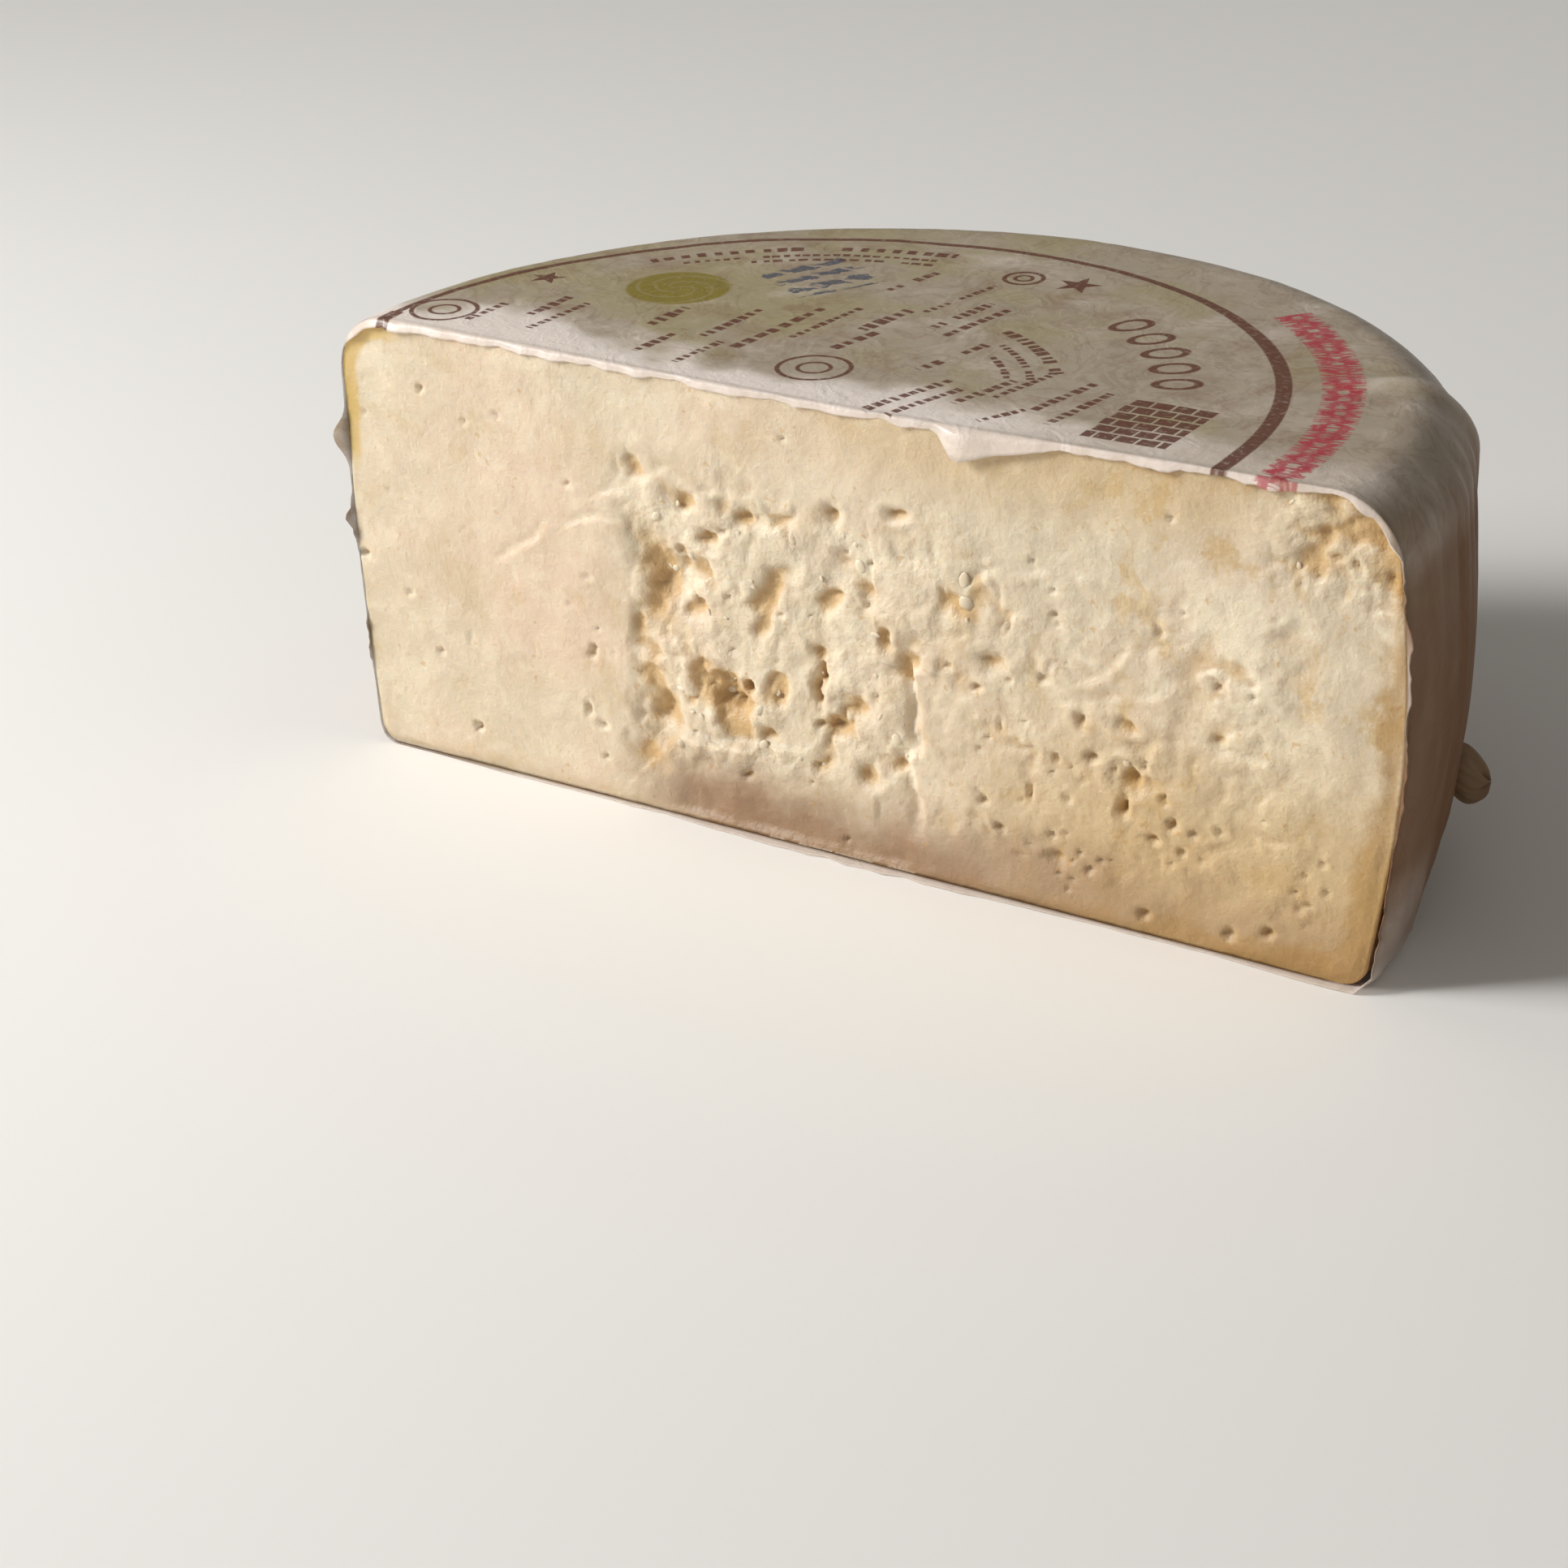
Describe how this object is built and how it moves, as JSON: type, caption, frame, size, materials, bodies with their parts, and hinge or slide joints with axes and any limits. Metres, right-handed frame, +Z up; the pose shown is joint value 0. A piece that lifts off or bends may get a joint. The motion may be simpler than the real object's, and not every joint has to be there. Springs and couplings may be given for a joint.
{
  "type": "cheese wheel",
  "caption": "Pressed cheese wheel cut through near its axis, with a flat, pitted and partly torn cut face, standing on its base in clinging film that is open at the cut.",
  "frame": {"origin": "middle of the bounding box's footprint, on the surface that the film under the cheese rests on", "axes": "+X along the cut face, from its left to its right as seen from in front of the cut; +Y from the cut face towards the round side; +Z up, along the wheel's axis"},
  "size_m": [0.2122, 0.1112, 0.0854],
  "materials": {
    "cheese": "satin",
    "film": "gloss"
  },
  "bodies": {
    "root": {"cheese_half": "cheese", "wrapping_film": "film"}
  },
  "joints": []
}
